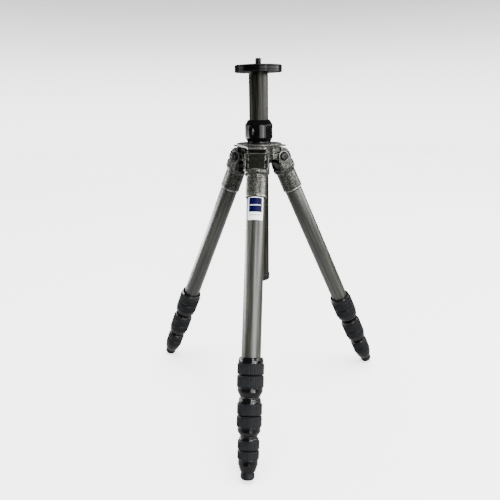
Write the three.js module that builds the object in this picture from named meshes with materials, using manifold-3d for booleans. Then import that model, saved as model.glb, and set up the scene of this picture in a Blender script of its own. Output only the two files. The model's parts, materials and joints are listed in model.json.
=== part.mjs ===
// A photographic tripod: a three-lobed shoulder casting, a sliding centre column with a camera
// platform, and three four-section carbon legs with twist locks, standing with every section collapsed.
// Millimetres, +Z up. The front leg points along -Y. The origin is on the floor, at the middle of the
// footprint's bounding box.
import * as THREE from "three";
import { mergeVertices } from "three/addons/utils/BufferGeometryUtils.js";
import Module from "manifold-3d";

const wasm = await Module();
wasm.setup();

// ---- Driving dimensions -------------------------------------------------------------------------
const LEG_NAMES = ["front", "right", "left"];
const LEG_SPREAD = THREE.MathUtils.degToRad(25.5); // leg axis from the vertical, at the first stop
const PIVOT_RADIUS = 34.5; // leg pivots from the column's axis
const TUBE_RADII = [14, 12, 10, 8]; // outer radius of the four leg sections
const TUBE_WALL = 1.2;
const FIT = 0.3; // radial gap between pieces that touch
const RUN = 0.45; // radial gap between pieces that turn in each other

const ROUND = 20; // facets of locks, tubes and other small turned pieces
const LARGE = 24; // facets of the hub, the disc and the column

// Column, with heights above the leg pivots' level.
const COLUMN = { radius: 14.7, wall: 1.6, top: 123.6, bottom: -194 };
const PLATFORM = { radius: 35.7, top: 135.6, bottom: 125.3, chamfer: 0.8, seatRadius: 9 };
const STUD = { radius: 4.76, tip: 145.6, root: 112 }; // 3/8 inch
const COLUMN_END = { flange: -194.3, tip: -206.5, radius: 15.6 };

// Shoulder, with heights above the leg pivots' level.
const HUB = { radius: 20, bore: 15, bottom: -8 };
const CAP = { radius: 35, bottom: 18.3, top: 20.8 };
const PLATE = { top: 17.4, bottom: 15, reach: 41.5, halfWidth: 15, centre: 26, round: 4 };
const LUG = { halfWidth: 14.5, radius: 8.5, bottom: -4.5, noseRadius: 13.8, bolt: 4.4 };
const NOSE_START = THREE.MathUtils.degToRad(131); // from straight down, turning outwards
const NECK = { radius: 17, top: 36 };
const LOCK_RING = {
  bottom: 23.6, lowerEdge: 29.4, upperEdge: 48.9, top: 56.2,
  radius: 21.4, topRadius: 17.2, bottomRadius: 18.4,
  fluteTurn: -0.52, fluteRadius: 8, fluteDepth: 1.8,
};

// Leg top casting, with distances down the leg from its pivot.
const FORK = {
  earInner: 15.8, earOuter: 18.9, bossRadius: 8.7, shoulder: 17.2, reach: 12, flare: 13.6, corner: 20.8,
  base: 20.5, ring: 24.8, ringRadius: 18.2, neck: 28.5, neckRadius: 15.3,
  end: 61, endRadius: 16, floor: 30,
};
const BOLT = { radius: 4, head: 6.7, headStart: 19.2, headEnd: 20.7 };
const CATCH = { halfWidth: 13.6, face: 14.3, back: 10, shelf: 9.4, end: 19.4 };

// Twist locks. Each is a collar bonded to the outer tube and a nut that turns on it.
const LOCKS = [
  { top: 294.5, gripTop: 302.4, gripEnd: 317.3, gap: 318.6, nutGrip: 319.6, nutGripEnd: 335.2,
    taper: 341.8, end: 349.2, grip: 19.2, body: 17.9, tip: 14.2 },
  { top: 350.4, gripTop: 357.5, gripEnd: 372.5, gap: 373.7, nutGrip: 374.7, nutGripEnd: 388.8,
    taper: 395.8, end: 402.3, grip: 17.8, body: 16.1, tip: 12.1 },
  { top: 403.4, gripTop: 407, gripEnd: 418.9, gap: 420.1, nutGrip: 421, nutGripEnd: 431.8,
    taper: 439.6, end: 448.6, grip: 15.3, body: 13.8, tip: 10.6 },
];
const TUBE_TOPS = [32, 36, 40, 44]; // where each section's upper end lies, collapsed
const SPIGOT = 11; // threaded length of a collar below its gap
const FOOT = { top: 449.3, plugTop: 437, radius: 9.8, end: 460.1 };
const LABEL = { start: 61.7, end: 97, wrap: 102, turn: 3.5, thickness: 0.3 }; // wrap and turn in degrees

// ---- Materials ----------------------------------------------------------------------------------
const finish = (color, roughness, metalness) =>
  new THREE.MeshStandardMaterial({ color, roughness, metalness });
const MATERIALS = {
  hammertone: finish(0x7f8079, 0.4, 0.6),
  carbon: finish(0x4a4b45, 0.35, 0.1),
  blackMetal: finish(0x0d0e10, 0.28, 0.5),
  grip: finish(0x2a2c2c, 0.75, 0),
  nylon: finish(0x1a1a1a, 0.5, 0),
  steel: finish(0x8f9294, 0.3, 0.9),
  label: finish(0x1a2b7c, 0.4, 0),
};

// ---- Solids -------------------------------------------------------------------------------------
function solid(geometry) {
  const bare = geometry.index ? geometry.toNonIndexed() : geometry.clone();
  bare.deleteAttribute("normal");
  bare.deleteAttribute("uv");
  const merged = mergeVertices(bare, 1e-4);
  return new wasm.Manifold(
    new wasm.Mesh({
      numProp: 3,
      vertProperties: merged.attributes.position.array,
      triVerts: new Uint32Array(merged.index.array),
    }),
  );
}

function geometryOf(manifold) {
  const mesh = manifold.getMesh();
  return new THREE.BufferGeometry()
    .setAttribute("position", new THREE.BufferAttribute(new Float32Array(mesh.vertProperties), 3))
    .setIndex(new THREE.BufferAttribute(new Uint32Array(mesh.triVerts), 1));
}

const joined = (...parts) => parts.reduce((a, b) => a.add(b));

// A turned piece about +Z. The profile is a list of [radius, height], anticlockwise with radius to the
// right and height up, and it closes on itself.
function turned(profile, facets) {
  const points = [...profile, profile[0]].map(([r, h]) => new THREE.Vector2(r, h));
  return new THREE.LatheGeometry(points, facets).rotateX(Math.PI / 2);
}

// A turned leg piece: its profile is a list of [radius, distance down the leg], clockwise in that sense.
const turnedDown = (profile, facets) => turned(profile.map(([r, s]) => [r, -s]), facets);

const ring = (inner, outer, low, high, facets) =>
  turned([[inner, low], [outer, low], [outer, high], [inner, high]], facets);

function rod(radius, length, facets) {
  return new THREE.CylinderGeometry(radius, radius, length, facets);
}

// A plate whose outline lies in the Y-Z plane, from x = low to x = high.
function plateAcross(outline, low, high) {
  const shape = new THREE.Shape(outline.map(([y, z]) => new THREE.Vector2(y, z)));
  const geometry = new THREE.ExtrudeGeometry(shape, { depth: high - low, bevelEnabled: false });
  // Turns the extrusion's X, Y, Z into Y, Z, X.
  geometry.applyMatrix4(new THREE.Matrix4().set(0, 0, 1, low, 1, 0, 0, 0, 0, 1, 0, 0, 0, 0, 0, 1));
  return geometry;
}

// Points on an arc about (y, z). Angles run from straight down towards -Y.
function arcPoints(y, z, radius, from, to, steps) {
  return Array.from({ length: steps + 1 }, (_, i) => {
    const angle = from + ((to - from) * i) / steps;
    return [y - radius * Math.sin(angle), z - radius * Math.cos(angle)];
  });
}

// ---- Shoulder -----------------------------------------------------------------------------------
function lobedPlate() {
  const outline = new THREE.Shape();
  for (let leg = 0; leg < LEG_NAMES.length; leg++) {
    const middle = -Math.PI / 2 + (leg * 2 * Math.PI) / LEG_NAMES.length;
    const place = (along, across) => [
      along * Math.cos(middle) - across * Math.sin(middle),
      along * Math.sin(middle) + across * Math.cos(middle),
    ];
    const { reach, halfWidth, centre, round } = PLATE;
    const valley = place(centre * Math.cos(Math.PI / 3), -centre * Math.sin(Math.PI / 3));
    if (leg === 0) outline.moveTo(...valley);
    outline.lineTo(...place(centre, -halfWidth));
    outline.lineTo(...place(reach - round, -halfWidth));
    outline.quadraticCurveTo(...place(reach, -halfWidth), ...place(reach, -halfWidth + round));
    outline.lineTo(...place(reach, halfWidth - round));
    outline.quadraticCurveTo(...place(reach, halfWidth), ...place(reach - round, halfWidth));
    outline.lineTo(...place(centre, halfWidth));
    if (leg < LEG_NAMES.length - 1) {
      outline.lineTo(...place(centre * Math.cos(Math.PI / 3), centre * Math.sin(Math.PI / 3)));
    }
  }
  outline.closePath();
  const depth = PLATE.top - PLATE.bottom;
  return new THREE.ExtrudeGeometry(outline, { depth, bevelEnabled: false, curveSegments: 4 })
    .translate(0, 0, PLATE.bottom);
}

function shoulderLug() {
  const pivot = -PIVOT_RADIUS;
  return plateAcross(
    [
      [-HUB.bore - 2, LUG.bottom],
      ...arcPoints(pivot, 0, LUG.radius, -Math.acos(-LUG.bottom / LUG.radius), NOSE_START, 10),
      ...arcPoints(pivot, 0, LUG.noseRadius, NOSE_START, Math.PI, 5),
      [pivot + 3.5, PLATE.bottom + 1],
      [-HUB.bore - 2, PLATE.bottom + 1],
    ].reverse(),
    -LUG.halfWidth,
    LUG.halfWidth,
  );
}

function shoulderCasting() {
  const core = turned(
    [
      [HUB.bore, HUB.bottom], [HUB.radius, HUB.bottom], [HUB.radius, CAP.bottom],
      [CAP.radius - 0.8, CAP.bottom], [CAP.radius, CAP.bottom + 0.8], [CAP.radius, CAP.top - 0.8],
      [CAP.radius - 0.8, CAP.top], [NECK.radius, CAP.top], [NECK.radius, NECK.top], [HUB.bore, NECK.top],
    ],
    LARGE,
  );
  const bore = solid(rod(HUB.bore, 200, LARGE).rotateX(Math.PI / 2));
  let casting = joined(solid(core), solid(lobedPlate()).subtract(bore));
  LEG_NAMES.forEach((_, leg) => {
    const turn = new THREE.Matrix4().makeRotationZ((leg * 2 * Math.PI) / LEG_NAMES.length);
    const hole = rod(LUG.bolt, 60, 16).rotateZ(Math.PI / 2).translate(0, -PIVOT_RADIUS, 0);
    casting = casting
      .add(solid(shoulderLug().applyMatrix4(turn)).subtract(bore))
      .subtract(solid(hole.applyMatrix4(turn)));
  });
  return geometryOf(casting);
}

function columnLockRing() {
  const { bottom, lowerEdge, upperEdge, top, radius, topRadius, bottomRadius } = LOCK_RING;
  const { fluteTurn, fluteRadius, fluteDepth } = LOCK_RING;
  const cavity = (NECK.radius + RUN) / Math.cos(Math.PI / LARGE);
  let body = solid(
    turned(
      [
        [cavity, bottom], [bottomRadius, bottom], [radius, lowerEdge], [radius, upperEdge],
        [topRadius, top], [COLUMN.radius + 0.7, top],
        [COLUMN.radius + 0.7, top - 5], [cavity, top - 7],
      ],
      LARGE,
    ),
  );
  // Three shallow flutes for the fingers.
  for (let i = 0; i < 3; i++) {
    const flute = rod(fluteRadius, 16, 14)
      .rotateX(Math.PI / 2)
      .translate(0, fluteDepth - radius - fluteRadius, (lowerEdge + upperEdge) / 2)
      .rotateZ(fluteTurn + (i * 2 * Math.PI) / 3);
    body = body.subtract(solid(flute));
  }
  return geometryOf(body);
}

function splitBush(inner, outer, low, high, facets) {
  const slit = new THREE.BoxGeometry(2, outer * 1.2, (high - low) * 3).translate(0, outer, (low + high) / 2);
  return geometryOf(solid(ring(inner, outer, low, high, facets)).subtract(solid(slit)));
}

// ---- Column -------------------------------------------------------------------------------------
function platformDisc() {
  const { radius, top, bottom, chamfer, seatRadius } = PLATFORM;
  return turned(
    [
      [seatRadius, bottom], [radius - chamfer, bottom], [radius, bottom + chamfer],
      [radius, top - chamfer], [radius - chamfer, top], [STUD.radius + FIT, top],
      [STUD.radius + FIT, bottom + 2], [seatRadius, bottom + 2],
    ],
    32,
  );
}

function columnInsert() {
  const inner = COLUMN.radius - COLUMN.wall - FIT;
  return turned(
    [
      [STUD.radius + FIT, COLUMN.top - 26], [inner, COLUMN.top - 26], [inner, COLUMN.top + FIT],
      [COLUMN.radius - 0.7, COLUMN.top + FIT], [COLUMN.radius - 0.7, PLATFORM.bottom - FIT],
      [PLATFORM.seatRadius - FIT, PLATFORM.bottom - FIT], [PLATFORM.seatRadius - FIT, PLATFORM.bottom + 1.7],
      [STUD.radius + FIT, PLATFORM.bottom + 1.7],
    ],
    LARGE,
  );
}

function stud() {
  return turned(
    [
      [0, STUD.root], [STUD.radius, STUD.root], [STUD.radius, STUD.tip - 1.2],
      [STUD.radius - 1.2, STUD.tip], [0, STUD.tip],
    ],
    16,
  );
}

function columnEndPlug() {
  const inner = COLUMN.radius - COLUMN.wall - FIT;
  const { flange, tip, radius } = COLUMN_END;
  return turned(
    [
      [0, tip], [radius - 5, tip], [radius - 1.6, tip + 1.2], [radius, tip + 3.6], [radius, flange - 4.4],
      [radius - 1.3, flange - 4], [radius - 1.3, flange - 3.2], [radius, flange - 2.8], [radius, flange],
      [inner, flange], [inner, flange + 20], [0, flange + 20],
    ],
    LARGE,
  );
}

// ---- Legs, each in a frame with its origin on the pivot and -Z down the leg -----------------------
function forkCasting() {
  const { bossRadius, shoulder, reach, flare, base } = FORK;
  const ear = [
    ...arcPoints(0, 0, bossRadius, Math.PI / 2, (3 * Math.PI) / 2, 10),
    [flare, -base - 1],
    [-reach, -base - 1],
    [-reach, -shoulder - 2],
    [-reach + 2, -shoulder],
    [-bossRadius, -shoulder],
  ].reverse();
  const ears = joined(
    solid(plateAcross(ear, FORK.earInner, FORK.earOuter)),
    solid(plateAcross(ear, -FORK.earOuter, -FORK.earInner)),
  ).intersect(solid(rod(FORK.corner, 100, 32).rotateX(Math.PI / 2)));
  const bore = TUBE_RADII[0] + FIT;
  const sleeve = turnedDown(
    [
      [0, FORK.base], [FORK.ringRadius, FORK.base], [FORK.ringRadius, FORK.ring],
      [FORK.neckRadius, FORK.neck], [FORK.endRadius, FORK.end - 1.5], [FORK.endRadius - 0.7, FORK.end],
      [bore, FORK.end], [bore, FORK.floor], [0, FORK.floor],
    ].reverse(),
    LARGE,
  );
  const hole = rod(BOLT.radius + FIT, 60, 16).rotateZ(Math.PI / 2);
  return geometryOf(joined(ears, solid(sleeve)).subtract(solid(hole)));
}

function pivotBolt() {
  const { radius, head, headStart, headEnd } = BOLT;
  return turned(
    [
      [0, -headEnd], [head - 0.8, -headEnd], [head, -headEnd + 0.8], [head, -headStart],
      [radius, -headStart], [radius, headStart], [head, headStart], [head, headEnd - 0.8],
      [head - 0.8, headEnd], [0, headEnd],
    ],
    16,
  ).rotateY(Math.PI / 2);
}

// The pull-out stop between the fork's ears. Its top end meets the lug's nose.
function angleCatch() {
  const { halfWidth, face, back, shelf, end } = CATCH;
  const clear = LUG.radius + 0.5;
  const top = NOSE_START - LEG_SPREAD - THREE.MathUtils.degToRad(2.2);
  const outline = [
    ...arcPoints(0, 0, clear, top, 0, 7),
    [back, -shelf],
    [back, -end],
    [-face, -end],
    [-face, (face - 0.6) / Math.tan(Math.PI - top)],
  ];
  return plateAcross(outline.reverse(), -halfWidth, halfWidth);
}

function legTube(section) {
  const outer = TUBE_RADII[section];
  const end = section < LOCKS.length ? LOCKS[section].gap + SPIGOT - 1 : FOOT.top - FIT;
  return ring(outer - TUBE_WALL, outer, -end, -TUBE_TOPS[section], ROUND);
}

const spigotRadius = (lock) => TUBE_RADII[lock] + FIT + 1.6;

function lockCollar(lock) {
  const { top, gripTop, gripEnd, gap, grip, body } = LOCKS[lock];
  const bore = TUBE_RADII[lock] + FIT;
  return turnedDown(
    [
      [bore, top], [body - 0.9, top], [body, top + 1.6], [body, gripTop - 0.9], [grip, gripTop],
      [grip, gripEnd], [grip - 1.2, gap - 0.5], [spigotRadius(lock), gap - 0.5],
      [spigotRadius(lock), gap + SPIGOT],
      [bore, gap + SPIGOT],
    ].reverse(),
    ROUND,
  );
}

function lockNut(lock) {
  const { gap, nutGrip, nutGripEnd, taper, end, grip, body, tip } = LOCKS[lock];
  const facet = Math.cos(Math.PI / ROUND);
  const thread = (spigotRadius(lock) + RUN) / facet;
  const wiper = (TUBE_RADII[lock + 1] + 0.2) / facet;
  return turnedDown(
    [
      [thread, gap + 0.5], [grip - 1.2, gap + 0.5], [grip, nutGrip], [grip, nutGripEnd],
      [body, nutGripEnd + 1.2], [body, taper], [tip, end], [wiper, end], [wiper, taper + 2],
      [thread, gap + SPIGOT + 1.5],
    ].reverse(),
    ROUND,
  );
}

// The split bush that the nut squeezes onto the inner tube, just below the collar's spigot.
function lockBush(lock) {
  const start = LOCKS[lock].gap + SPIGOT + 0.5;
  const inner = TUBE_RADII[lock + 1] + FIT;
  return splitBush(inner, inner + 1, -(start + 5), -start, ROUND);
}

function foot() {
  const { top, plugTop, radius, end } = FOOT;
  const plug = TUBE_RADII[3] - TUBE_WALL - FIT;
  return turnedDown(
    [
      [0, plugTop], [plug, plugTop], [plug, top], [radius - 0.5, top], [radius - 0.8, top + 1.6],
      [radius, top + 2.6], [radius, end - 3.5], [radius - 1.6, end - 1], [radius - 4.5, end], [0, end],
    ].reverse(),
    ROUND,
  );
}

// A thin plate bent round the upper tube, below the casting.
function labelPlate() {
  const inner = TUBE_RADII[0] + FIT;
  const { start, end, thickness } = LABEL;
  const half = THREE.MathUtils.degToRad(LABEL.wrap / 2);
  const middle = THREE.MathUtils.degToRad(LABEL.turn) - Math.PI / 2;
  const shape = new THREE.Shape();
  shape.absarc(0, 0, inner + thickness, middle - half, middle + half, false);
  shape.absarc(0, 0, inner, middle + half, middle - half, true);
  return new THREE.ExtrudeGeometry(shape, { depth: end - start, bevelEnabled: false, curveSegments: 6 })
    .translate(0, 0, -end);
}

// ---- Assembly -----------------------------------------------------------------------------------
const tripod = new THREE.Group();

function add(parent, name, geometry, material) {
  const mesh = new THREE.Mesh(geometry, MATERIALS[material]);
  mesh.name = name;
  parent.add(mesh);
}

add(tripod, "shoulder_casting", shoulderCasting(), "hammertone");
add(tripod, "column_lock_ring", columnLockRing(), "blackMetal");
add(tripod, "column_bush", splitBush(COLUMN.radius + 0.4, COLUMN.radius + 2.1, NECK.top + 0.5, 48.5, LARGE),
  "nylon");
const columnInner = COLUMN.radius - COLUMN.wall;
add(tripod, "column_tube", ring(columnInner, COLUMN.radius, COLUMN.bottom, COLUMN.top, LARGE), "carbon");
add(tripod, "platform_disc", platformDisc(), "blackMetal");
add(tripod, "column_insert", columnInsert(), "nylon");
add(tripod, "camera_stud", stud(), "steel");
add(tripod, "column_end_plug", columnEndPlug(), "nylon");

LEG_NAMES.forEach((name, index) => {
  const side = new THREE.Group();
  side.rotation.z = (index * 2 * Math.PI) / LEG_NAMES.length;
  const leg = new THREE.Group();
  leg.position.set(0, -PIVOT_RADIUS, 0);
  leg.rotation.x = -LEG_SPREAD;
  side.add(leg);
  tripod.add(side);

  add(leg, `leg_fork_${name}`, forkCasting(), "hammertone");
  add(leg, `pivot_bolt_${name}`, pivotBolt(), "blackMetal");
  add(leg, `angle_catch_${name}`, angleCatch(), "nylon");
  TUBE_RADII.forEach((_, i) => add(leg, `tube_${i + 1}_${name}`, legTube(i), "carbon"));
  LOCKS.forEach((_, i) => {
    add(leg, `lock_${i + 1}_collar_${name}`, lockCollar(i), "grip");
    add(leg, `lock_${i + 1}_nut_${name}`, lockNut(i), "grip");
    add(leg, `lock_${i + 1}_bush_${name}`, lockBush(i), "nylon");
  });
  add(leg, `foot_${name}`, foot(), "grip");
  if (index === 0) add(leg, "label_plate", labelPlate(), "label");
});

// Stands the feet on z = 0 and centres the footprint's box on the origin.
const extent = new THREE.Box3().setFromObject(tripod, true);
const middle = extent.getCenter(new THREE.Vector3());
tripod.position.set(-middle.x, -middle.y, -extent.min.z);

const part = new THREE.Group();
part.add(tripod);
export default part;
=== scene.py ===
"""A collapsed carbon-fibre camera tripod, dressed on its CAD frame."""

import json
import math

import bmesh
import bpy
from mathutils import Matrix, Vector


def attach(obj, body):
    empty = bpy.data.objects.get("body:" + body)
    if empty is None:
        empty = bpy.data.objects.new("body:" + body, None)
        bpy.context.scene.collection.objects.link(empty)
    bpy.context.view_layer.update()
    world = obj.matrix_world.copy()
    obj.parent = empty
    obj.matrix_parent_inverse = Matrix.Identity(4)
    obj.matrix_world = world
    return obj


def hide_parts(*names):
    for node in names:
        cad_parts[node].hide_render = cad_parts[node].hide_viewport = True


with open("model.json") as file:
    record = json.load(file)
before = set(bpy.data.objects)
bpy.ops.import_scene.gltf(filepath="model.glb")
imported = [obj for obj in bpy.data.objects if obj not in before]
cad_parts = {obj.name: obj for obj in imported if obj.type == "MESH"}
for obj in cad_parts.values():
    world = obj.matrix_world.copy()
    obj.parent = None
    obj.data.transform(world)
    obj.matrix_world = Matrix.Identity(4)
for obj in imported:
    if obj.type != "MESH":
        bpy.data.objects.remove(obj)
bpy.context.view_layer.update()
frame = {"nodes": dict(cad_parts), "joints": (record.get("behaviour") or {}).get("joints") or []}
JOINTS = {joint["name"]: joint for joint in frame["joints"]}
LEGS = ("front", "right", "left")
MM = 0.001
SMOOTH_ANGLE = math.radians(32)
OVERLAP = 0.6  # How far solids run into each other before they are fused.
THROUGH = 60  # Reaches past anything that a cutter cuts.


# ---- The frame's axes ----
def column_matrix():
    """Column axis upwards, with its origin level with the leg pivots."""
    x, y, _ = JOINTS["column_lock_turn"]["pos_m"]
    z = JOINTS["leg_spread_front"]["pos_m"][2]
    return Matrix.Translation((x, y, z))


def leg_matrix(leg):
    """Origin on the leg's pivot, -Z down the leg, -Y outwards, X along the pivot bolt."""
    hinge = JOINTS[f"leg_spread_{leg}"]
    x = -Vector(hinge["axis"])
    z = -Vector(JOINTS[f"section_2_slide_{leg}"]["axis"])
    y = z.cross(x)
    turn = Matrix((x, y, z)).transposed().to_4x4()
    return Matrix.Translation(hinge["pos_m"]) @ turn


COLUMN = column_matrix()
LEG = {leg: leg_matrix(leg) for leg in LEGS}


def side_matrix(leg):
    """The leg's pivot and radial direction, upright: the shoulder lug's own frame."""
    pivot = LEG[leg].translation
    x = LEG[leg].to_3x3().col[0]
    y = Vector((0, 0, 1)).cross(x)
    turn = Matrix((x, y, Vector((0, 0, 1)))).transposed().to_4x4()
    return Matrix.Translation(pivot) @ turn


def span(node, matrix):
    """Lowest and highest corners of a CAD node in the frame of matrix, in millimetres."""
    inverse = matrix.inverted()
    points = [inverse @ v.co / MM for v in frame["nodes"][node].data.vertices]
    low = Vector(min(p[i] for p in points) for i in range(3))
    high = Vector(max(p[i] for p in points) for i in range(3))
    return low, high


# ---- Solids, in millimetres ----
def rounded(points, radius, steps=3):
    """A closed outline with its corners rounded, except corners on the axis, where x is 0."""
    result = []
    for i, point in enumerate(points):
        here = Vector(point)
        before = Vector(points[i - 1]) - here
        after = Vector(points[(i + 1) % len(points)]) - here
        if abs(here.x) < 1e-6 or before.angle(after, math.pi) > 2.9:
            result.append(tuple(here))
            continue
        cut = min(radius, before.length * 0.45, after.length * 0.45)
        start = here + before.normalized() * cut
        end = here + after.normalized() * cut
        for step in range(steps + 1):
            t = step / steps
            result.append(tuple(start * (1 - t) ** 2 + here * 2 * t * (1 - t) + end * t * t))
    return result


def arc(centre, radius, start, end, steps):
    """Points on an arc, with angles in degrees."""
    angles = [math.radians(start + (end - start) * i / steps) for i in range(steps + 1)]
    return [(centre[0] + radius * math.cos(a), centre[1] + radius * math.sin(a)) for a in angles]


def lathe(profile, segments=96, shape=None):
    """A solid turned about Z from a closed list of (radius, height). shape(radius, height, angle)
    gives the radius there instead."""
    bm = bmesh.new()
    rings = []
    for radius, height in profile:
        if abs(radius) < 1e-6:
            rings.append([bm.verts.new((0, 0, height))])
            continue
        ring = []
        for i in range(segments):
            angle = 2 * math.pi * i / segments
            r = shape(radius, height, angle) if shape else radius
            ring.append(bm.verts.new((r * math.cos(angle), r * math.sin(angle), height)))
        rings.append(ring)
    for a, b in zip(rings, rings[1:] + rings[:1]):
        if len(a) == 1 and len(b) == 1:
            continue
        for i in range(segments):
            j = (i + 1) % segments
            corners = [a[i % len(a)], a[j % len(a)], b[j % len(b)], b[i % len(b)]]
            bm.faces.new(list(dict.fromkeys(corners)))
    bmesh.ops.recalc_face_normals(bm, faces=bm.faces)
    return bm


def rod(radius, low, high, segments=96):
    return lathe([(0, low), (radius, low), (radius, high), (0, high)], segments)


def prism(outline, low, high, bevel=0.0, axis="X"):
    """A plate whose outline lies across axis X, as (y, z), or across axis Z, as (x, y)."""
    bm = bmesh.new()
    place = (lambda p, h: (h, *p)) if axis == "X" else (lambda p, h: (*p, h))
    bottom = [bm.verts.new(place(p, low)) for p in outline]
    top = [bm.verts.new(place(p, high)) for p in outline]
    bm.faces.new(bottom)
    bm.faces.new(top)
    count = len(outline)
    for i in range(count):
        j = (i + 1) % count
        bm.faces.new((bottom[i], bottom[j], top[j], top[i]))
    bmesh.ops.recalc_face_normals(bm, faces=bm.faces)
    if bevel:
        edges = [e for e in bm.edges if e.calc_face_angle(0) > SMOOTH_ANGLE]
        rule = {"segments": 3, "profile": 0.6, "affect": "EDGES", "clamp_overlap": True}
        bmesh.ops.bevel(bm, geom=edges, offset=bevel, **rule)
    return bm


def moved(bm, matrix):
    bmesh.ops.transform(bm, matrix=matrix, verts=bm.verts)
    return bm


def across(bm):
    """Turns a solid made about Z to lie about X."""
    return moved(bm, Matrix.Rotation(math.pi / 2, 4, "Y"))


def merged(*parts):
    result = bmesh.new()
    for part in parts:
        mesh = bpy.data.meshes.new("part")
        part.to_mesh(mesh)
        part.free()
        result.from_mesh(mesh)
        bpy.data.meshes.remove(mesh)
    return result


def scratch(bm):
    """A throwaway object holding bm, for modifiers."""
    mesh = bpy.data.meshes.new("scratch")
    bm.to_mesh(mesh)
    bm.free()
    thing = bpy.data.objects.new("scratch", mesh)
    bpy.context.scene.collection.objects.link(thing)
    return thing


def boolean(body, operation, tool):
    modifier = body.modifiers.new("boolean", "BOOLEAN")
    modifier.operation = operation
    modifier.solver = "EXACT"
    modifier.object = tool


def remesh(body, voxel):
    modifier = body.modifiers.new("remesh", "REMESH")
    modifier.mode = "VOXEL"
    modifier.voxel_size = voxel


def baked(body, tools):
    """The solid that body's modifiers give. Body and its tools are thrown away."""
    bpy.context.view_layer.update()
    evaluated = body.evaluated_get(bpy.context.evaluated_depsgraph_get())
    mesh = bpy.data.meshes.new_from_object(evaluated)
    result = bmesh.new()
    result.from_mesh(mesh)
    bpy.data.meshes.remove(mesh)
    for thing in [body, *tools]:
        bpy.data.objects.remove(thing)
    return result


def cast(solid, cutters, voxel=0.5, smoothing=3):
    """Overlapping solids fused into one soft-edged casting, with the cutters taken away."""
    body = scratch(solid)
    tools = [scratch(cutter) for cutter in cutters]
    remesh(body, voxel)
    for tool in tools:
        boolean(body, "DIFFERENCE", tool)
    remesh(body, voxel)
    soften = body.modifiers.new("soften", "SMOOTH")
    soften.factor = 0.5
    soften.iterations = smoothing
    return baked(body, tools)


def trimmed(solid, keep):
    """The part of solid that lies inside keep."""
    body, tool = scratch(solid), scratch(keep)
    boolean(body, "INTERSECT", tool)
    return baked(body, [tool])


def piece(name, bm, matrix, material, body, replaces=()):
    """A finished piece: bm is in millimetres, in the frame that matrix gives."""
    bmesh.ops.scale(bm, vec=(MM, MM, MM), verts=bm.verts)
    mesh = bpy.data.meshes.new(name)
    bm.to_mesh(mesh)
    bm.free()
    mesh.shade_smooth()
    mesh.set_sharp_from_angle(angle=SMOOTH_ANGLE)
    mesh.materials.append(material)
    thing = bpy.data.objects.new(name, mesh)
    bpy.context.scene.collection.objects.link(thing)
    thing.matrix_world = matrix
    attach(thing, body)
    if replaces:
        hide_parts(*replaces)
    return thing


# ---- Materials ----
class Nodes:
    """Builds one material: a Principled shader and the nodes that feed it."""

    def __init__(self, name, **sockets):
        self.material = bpy.data.materials.new(name)
        self.material.use_nodes = True
        self.tree = self.material.node_tree
        self.shader = self.tree.nodes["Principled BSDF"]
        for socket, value in sockets.items():
            self.shader.inputs[socket.replace("_", " ")].default_value = value

    def add(self, kind, links=None, **settings):
        node = self.tree.nodes.new(f"ShaderNode{kind}")
        for key, value in settings.items():
            setattr(node, key, value)
        for socket, value in (links or {}).items():
            if isinstance(value, bpy.types.NodeSocket):
                self.tree.links.new(value, node.inputs[socket])
            else:
                node.inputs[socket].default_value = value
        return node

    def place(self, scale=(1, 1, 1)):
        """The piece's own coordinates in millimetres, stretched."""
        coordinates = self.add("TexCoord").outputs["Object"]
        factor = tuple(1000 * s for s in scale)
        return self.add("Mapping", {"Vector": coordinates, "Scale": factor}).outputs["Vector"]

    def noise(self, scale, size=1.0, detail=3.0, rough=0.5, distortion=0.0):
        """Noise with patches about size millimetres across."""
        links = {"Vector": self.place(scale), "Scale": 1 / size, "Detail": detail, "Roughness": rough}
        return self.add("TexNoise", {**links, "Distortion": distortion}).outputs["Fac"]

    def ramp(self, factor, *stops):
        node = self.add("ValToRGB", {"Fac": factor})
        band = node.color_ramp
        for _ in range(len(stops) - 2):
            band.elements.new(0.5)
        for element, (position, color) in zip(band.elements, stops):
            element.position = position
            element.color = (*color, 1) if isinstance(color, tuple) else (color, color, color, 1)
        return node.outputs["Color"]

    def mix(self, factor, a, b, blend="MIX"):
        node = self.add("Mix", data_type="RGBA", blend_type=blend)
        for socket, value in ((node.inputs[0], factor), (node.inputs[6], a), (node.inputs[7], b)):
            if isinstance(value, bpy.types.NodeSocket):
                self.tree.links.new(value, socket)
            elif isinstance(value, tuple):
                socket.default_value = (*value, 1)
            else:
                socket.default_value = value
        return node.outputs[2]

    def math(self, operation, a, b=0.0, c=0.0):
        node = self.add("Math", operation=operation)
        for socket, value in zip(node.inputs, (a, b, c)):
            if isinstance(value, bpy.types.NodeSocket):
                self.tree.links.new(value, socket)
            else:
                socket.default_value = value
        return node.outputs[0]

    def bump(self, height, distance, strength=1.0, normal=None):
        links = {"Height": height, "Distance": distance * MM, "Strength": strength}
        if normal:
            links["Normal"] = normal
        return self.add("Bump", links).outputs["Normal"]

    def level(self, value, low, high):
        """0 where value is low or less, 1 where it is high or more."""
        links = {"Value": value, "From Min": low, "From Max": high}
        return self.add("MapRange", links).outputs["Result"]

    def edges(self, low, high):
        """1 on worn convex edges, 0 on flats."""
        return self.level(self.add("NewGeometry").outputs["Pointiness"], low, high)

    def feed(self, **links):
        for socket, output in links.items():
            self.tree.links.new(output, self.shader.inputs[socket.replace("_", " ")])
        return self.material


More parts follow.
